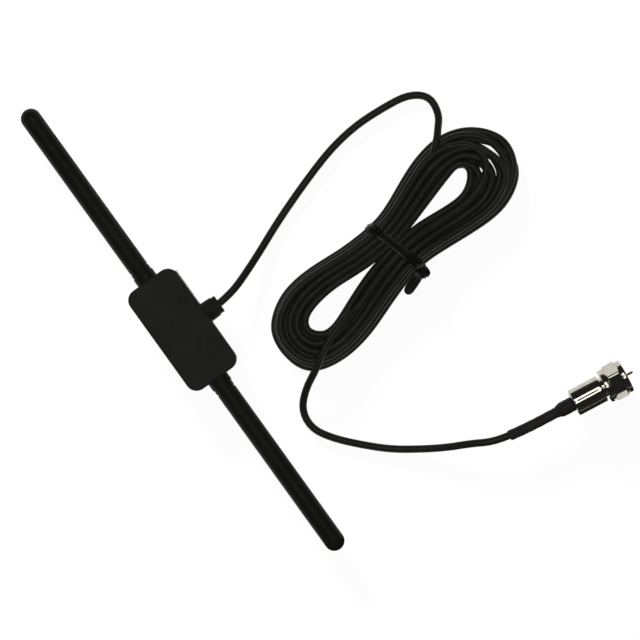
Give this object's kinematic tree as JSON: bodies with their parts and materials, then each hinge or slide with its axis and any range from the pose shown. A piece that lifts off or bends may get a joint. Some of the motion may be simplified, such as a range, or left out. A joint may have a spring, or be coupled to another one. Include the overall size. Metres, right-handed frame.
{
  "type": "dipole antenna",
  "caption": "Stick-on dipole antenna: a flat black case with a straight arm at each end, a thin coax lead wound in a tied hank, and a screw-on plug with a spinning nut.",
  "frame": {"origin": "centre of the case's length and width, on the back face that sticks to a surface", "axes": "+X along the dipole, +Y out of the cable gland, +Z out of the case's flat front"},
  "size_m": [0.1927, 0.1324, 0.0127],
  "materials": {
    "case_plastic": "matte, finely textured black",
    "arm_plastic": "satin black moulding",
    "gland_rubber": "satin black",
    "cable_jacket": "satin black PVC",
    "sleeve_shrink": "satin black shrink tube",
    "tie_plastic": "satin black coated wire tie",
    "pad_foam": "white foam tape",
    "liner_paper": "pale coated paper",
    "rod_steel": "drawn steel",
    "board_laminate": "green solder mask",
    "ferrite": "sintered grey",
    "copper": "bare copper",
    "chip_ceramic": "fired ceramic",
    "solder": "bright solder",
    "dielectric": "natural white",
    "plug_nickel": "polished nickel plate",
    "pin_brass": "bright brass"
  },
  "bodies": {
    "antenna": {"case_bottom": "case_plastic", "case_top": "case_plastic", "release_liner": "liner_paper", "adhesive_pad": "pad_foam", "arm_cover_right": "arm_plastic", "arm_cover_left": "arm_plastic", "arm_rod_right": "rod_steel", "arm_rod_left": "rod_steel", "circuit_board": "board_laminate", "balun_core": "ferrite", "balun_winding": "copper", "chip_parts": "chip_ceramic", "solder_joints": "solder", "cable_gland": "gland_rubber", "cable_inlet": "cable_jacket", "cable_dielectric": "dielectric", "cable_conductor": "copper", "cable_braid_tail": "copper", "cable_lead": "cable_jacket", "cable_hank": "cable_jacket", "cable_tie": "tie_plastic", "cable_tail": "cable_jacket", "shrink_sleeve": "sleeve_shrink", "cable_far_end": "cable_jacket", "plug_barrel": "plug_nickel", "plug_post": "plug_nickel", "plug_insulator": "dielectric", "centre_pin": "pin_brass"},
    "nut": {"coupling_nut": "plug_nickel"}
  },
  "joints": [
    {"name": "nut_spin", "type": "hinge", "parent": "antenna", "child": "nut", "pos_m": [0.09706, 0.10596, 0.00645], "axis": [0.1331, 0.9911, 0], "continuous": true}
  ]
}
